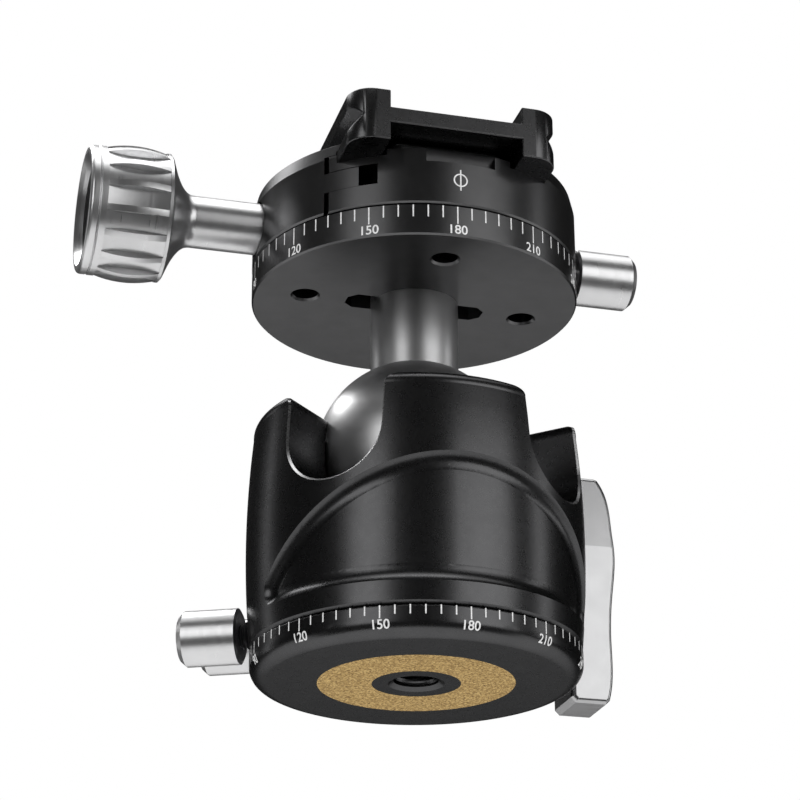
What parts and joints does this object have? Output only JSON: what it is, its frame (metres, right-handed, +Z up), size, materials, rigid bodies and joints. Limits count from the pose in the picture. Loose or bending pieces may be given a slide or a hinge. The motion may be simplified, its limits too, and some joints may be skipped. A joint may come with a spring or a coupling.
{
  "type": "tripod ball head",
  "caption": "Tripod ball head: panning round base, notched barrel housing with a locking ball, lock lever and knobs, and a panning dovetail clamp with a quick-release plate.",
  "frame": {"origin": "centre of the underside of the base, on the pan axis, at the mouth of the tripod socket", "axes": "+Z up along the pan axis, -Y towards the front of the housing with the arched relief, +X towards the lock lever"},
  "size_m": [0.1053, 0.068, 0.102],
  "materials": {
    "black_anodised": "satin",
    "silver_satin": "satin",
    "ball_polish": "polished",
    "steel": "satin",
    "black_steel": "satin",
    "cork": "matte",
    "plastic": "matte",
    "brass": "satin",
    "rubber": "matte"
  },
  "bodies": {
    "base": {"base_plate": "black_anodised", "cork_pad": "cork", "slip_washer": "plastic", "brake_collar": "steel", "collar_screws": "steel"},
    "housing": {"ball_housing": "black_anodised", "floor_plate": "silver_satin", "floor_screws": "steel", "seat_block": "silver_satin", "seat_liner": "plastic", "fixed_cotter": "brass", "cotter_ring": "rubber"},
    "lever": {"lock_spindle": "steel", "thrust_washer": "plastic", "lock_lever": "silver_satin", "lever_screw": "steel"},
    "cotter": {"moving_cotter": "brass"},
    "pan_shoe": {"pan_shoe": "brass"},
    "pan_knob": {"pan_lock_knob": "silver_satin", "pan_lock_cap": "steel", "pan_lock_screw": "black_steel"},
    "friction_tip": {"friction_tip": "plastic"},
    "friction_knob": {"friction_knob": "silver_satin", "friction_cap": "steel", "friction_screw": "black_steel"},
    "stem": {"ball_stem": "ball_polish", "clamp_base": "black_anodised", "stem_bolt": "steel", "pan_hub": "steel"},
    "clamp": {"pan_retainer": "silver_satin", "retainer_screws": "steel", "clamp_body": "black_anodised", "jaw_springs": "steel"},
    "jaw": {"moving_jaw": "black_anodised", "jaw_pins": "steel"},
    "clamp_knob": {"clamp_knob": "silver_satin", "clamp_screw": "steel", "clamp_knob_cap": "black_anodised"},
    "clamp_pan_shoe": {"clamp_pan_shoe": "brass"},
    "clamp_pan_knob": {"clamp_pan_knob": "silver_satin", "clamp_pan_cap": "steel", "clamp_pan_screw": "steel"},
    "plate": {"quick_plate": "black_anodised", "grip_pads": "rubber"},
    "camera_screw": {"camera_screw": "steel"}
  },
  "joints": [
    {"name": "base_pan", "type": "hinge", "parent": "base", "child": "housing", "pos_m": [0, 0, 0], "axis": [0, 0, 1], "continuous": true},
    {"name": "lock_lever_turn", "type": "hinge", "parent": "housing", "child": "lever", "pos_m": [0, 0.0105, 0.0223], "axis": [1, 0, 0], "range_deg": [-91, 91]},
    {"name": "cotter_slide", "type": "slide", "parent": "housing", "child": "cotter", "axis": [1, 0, 0], "range_m": [-0.00025, 0.00025]},
    {"name": "pan_shoe_slide", "type": "slide", "parent": "housing", "child": "pan_shoe", "axis": [-0.9026, 0.4305, 0], "range_m": [-0.00029, 0.00105]},
    {"name": "pan_lock_turn", "type": "hinge", "parent": "pan_shoe", "child": "pan_knob", "pos_m": [-0.02825, 0.01348, 0.01045], "axis": [-0.9026, 0.4305, 0], "range_deg": [-151, 541]},
    {"name": "friction_tip_slide", "type": "slide", "parent": "housing", "child": "friction_tip", "axis": [-0.9026, 0.4305, 0], "range_m": [-0.00029, 0.00105]},
    {"name": "friction_turn", "type": "hinge", "parent": "friction_tip", "child": "friction_knob", "pos_m": [-0.02195, 0.02598, 0.013], "axis": [-0.9026, 0.4305, 0], "range_deg": [-151, 541]},
    {"name": "ball_tilt", "type": "hinge", "parent": "housing", "child": "stem", "pos_m": [0, 0, 0.0416], "axis": [0.7071, -0.7071, 0], "range_deg": [-45, 90]},
    {"name": "clamp_pan", "type": "hinge", "parent": "stem", "child": "clamp", "pos_m": [0, 0, 0.0781], "axis": [0, 0, 1], "continuous": true},
    {"name": "jaw_slide", "type": "slide", "parent": "clamp", "child": "jaw", "axis": [-1, 0, 0], "range_m": [0, 0.0024]},
    {"name": "clamp_knob_turn", "type": "hinge", "parent": "jaw", "child": "clamp_knob", "pos_m": [-0.0285, 0, 0.0841], "axis": [-1, 0, 0], "range_deg": [-1, 1081]},
    {"name": "clamp_pan_shoe_slide", "type": "slide", "parent": "clamp", "child": "clamp_pan_shoe", "axis": [1, 0, 0], "range_m": [-0.00020833, 0.00075]},
    {"name": "clamp_pan_lock_turn", "type": "hinge", "parent": "clamp_pan_shoe", "child": "clamp_pan_knob", "pos_m": [0.031, 0, 0.08185], "axis": [1, 0, 0], "range_deg": [-151, 541]},
    {"name": "plate_slide", "type": "slide", "parent": "clamp", "child": "plate", "axis": [0, 1, 0], "range_m": [0, 0.075]},
    {"name": "camera_screw_turn", "type": "hinge", "parent": "plate", "child": "camera_screw", "pos_m": [-0.0012, 0, 0.0876], "axis": [0, 0, 1], "continuous": true}
  ],
  "couplings": [
    {"joint": "lock_lever_turn", "follows": "cotter_slide", "rad_per_m": -6283.2},
    {"joint": "pan_lock_turn", "follows": "pan_shoe_slide", "rad_per_m": 8976},
    {"joint": "friction_turn", "follows": "friction_tip_slide", "rad_per_m": 8976},
    {"joint": "clamp_knob_turn", "follows": "jaw_slide", "rad_per_m": 7854},
    {"joint": "clamp_pan_lock_turn", "follows": "clamp_pan_shoe_slide", "rad_per_m": 12566}
  ]
}
